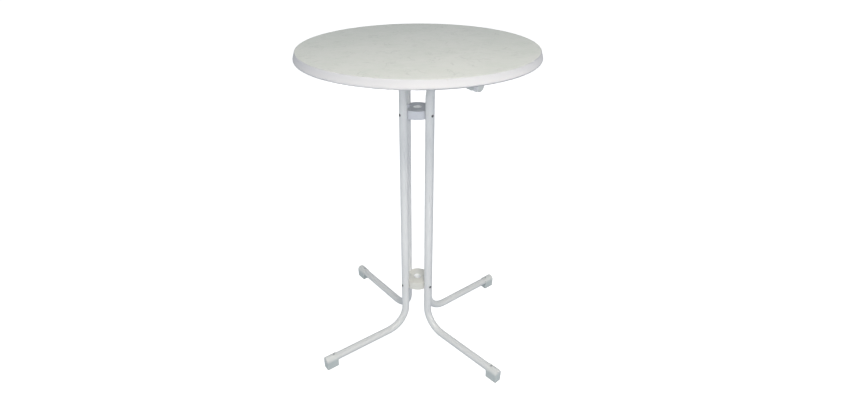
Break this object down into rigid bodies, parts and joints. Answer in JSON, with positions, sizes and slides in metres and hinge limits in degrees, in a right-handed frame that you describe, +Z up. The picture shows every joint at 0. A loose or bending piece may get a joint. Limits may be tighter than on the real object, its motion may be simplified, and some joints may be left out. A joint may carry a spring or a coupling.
{
  "type": "folding standing bar table",
  "caption": "Tall round standing table: moulded top with a down-turned rim on bent tube legs; the base folds about hubs on its upright column.",
  "frame": {"origin": "on the floor, on the axis of the upright column and of the round top", "axes": "+Z up; the picture looks along +Y from a little above, with +X to the right"},
  "size_m": [0.75, 0.75, 1.1],
  "materials": {
    "top_board": "pressed wood and resin board with a smooth off-white marbled face",
    "white_steel": "semi-gloss powder coat",
    "cap_plastic": "moulded, fine satin",
    "hub_plastic": "moulded, satin",
    "stop_plastic": "moulded, satin",
    "screw_steel": "darkened",
    "zinc_steel": "zinc plated",
    "insert_brass": "plain"
  },
  "bodies": {
    "fixed_half": {"tabletop": "top_board", "fixed_tube_back_right": "white_steel", "foot_cap_back_right": "cap_plastic", "arm_cap_back_right": "cap_plastic", "fixed_tube_front_left": "white_steel", "foot_cap_front_left": "cap_plastic", "arm_cap_front_left": "cap_plastic", "stop_block_front_right": "stop_plastic", "stop_block_back_left": "stop_plastic", "upper_hub_fixed": "hub_plastic", "upper_hub_ring": "zinc_steel", "lower_hub_fixed": "hub_plastic", "lower_hub_ring": "zinc_steel", "hub_screws_fixed": "screw_steel", "cap_screws_fixed": "zinc_steel", "stop_block_screws": "zinc_steel", "top_screws": "zinc_steel", "top_inserts": "insert_brass"},
    "swing_half": {"swing_tube_front_right": "white_steel", "foot_cap_front_right": "cap_plastic", "arm_cap_front_right": "cap_plastic", "swing_tube_back_left": "white_steel", "foot_cap_back_left": "cap_plastic", "arm_cap_back_left": "cap_plastic", "upper_hub_swing": "hub_plastic", "lower_hub_swing": "hub_plastic", "hub_screws_swing": "screw_steel", "cap_screws_swing": "zinc_steel"}
  },
  "joints": [
    {"name": "base_fold", "type": "hinge", "parent": "fixed_half", "child": "swing_half", "pos_m": [0, 0, 0.5535], "axis": [0, 0, 1], "range_deg": [0, 51]}
  ]
}
